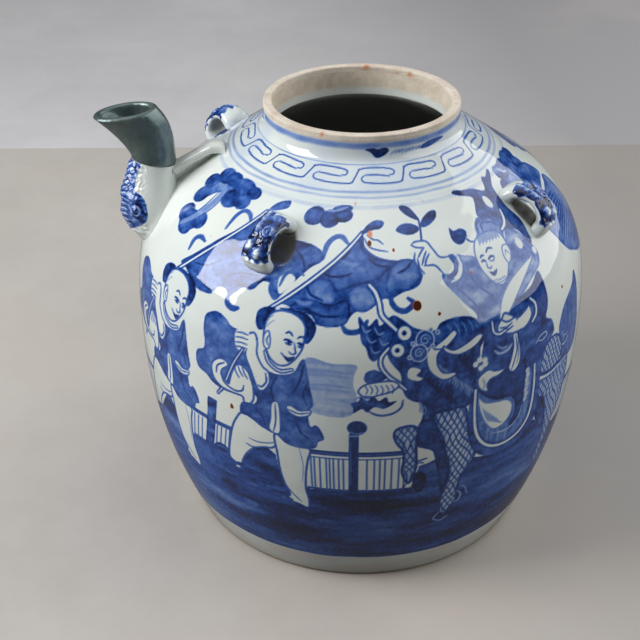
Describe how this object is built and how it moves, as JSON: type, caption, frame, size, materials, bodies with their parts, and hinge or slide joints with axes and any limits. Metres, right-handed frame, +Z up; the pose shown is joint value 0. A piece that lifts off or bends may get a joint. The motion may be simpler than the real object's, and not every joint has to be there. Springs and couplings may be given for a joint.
{
  "type": "porcelain jug",
  "caption": "Large round-bodied porcelain jug with a short neck, a side spout with a metal pouring tip, and strap lugs on the shoulder for a bail.",
  "frame": {"origin": "centre of the foot ring, on the plane that the jug stands on", "axes": "+Z up along the turned body's axis, -X towards the spout, +Y to the side of the lug_back pair"},
  "size_m": [0.3038, 0.2862, 0.28],
  "materials": {
    "glaze": "pale bluish glaze with cobalt painting under it",
    "cobalt_glaze": "cobalt blue under a clear glaze",
    "biscuit": "unglazed, stained by use",
    "tip_metal": "dark grey-green patina, smooth",
    "cement": "dull filler"
  },
  "bodies": {
    "root": {"foot_ring": "biscuit", "lower_body": "glaze", "upper_body": "glaze", "neck_collar": "glaze", "rim_ring": "biscuit", "spout_body": "glaze", "spout_strut": "glaze", "spout_tip": "tip_metal", "tip_cement": "cement", "lug_front_left": "cobalt_glaze", "lug_front_right": "cobalt_glaze", "lug_back_left": "cobalt_glaze", "lug_back_right": "cobalt_glaze"}
  },
  "joints": []
}
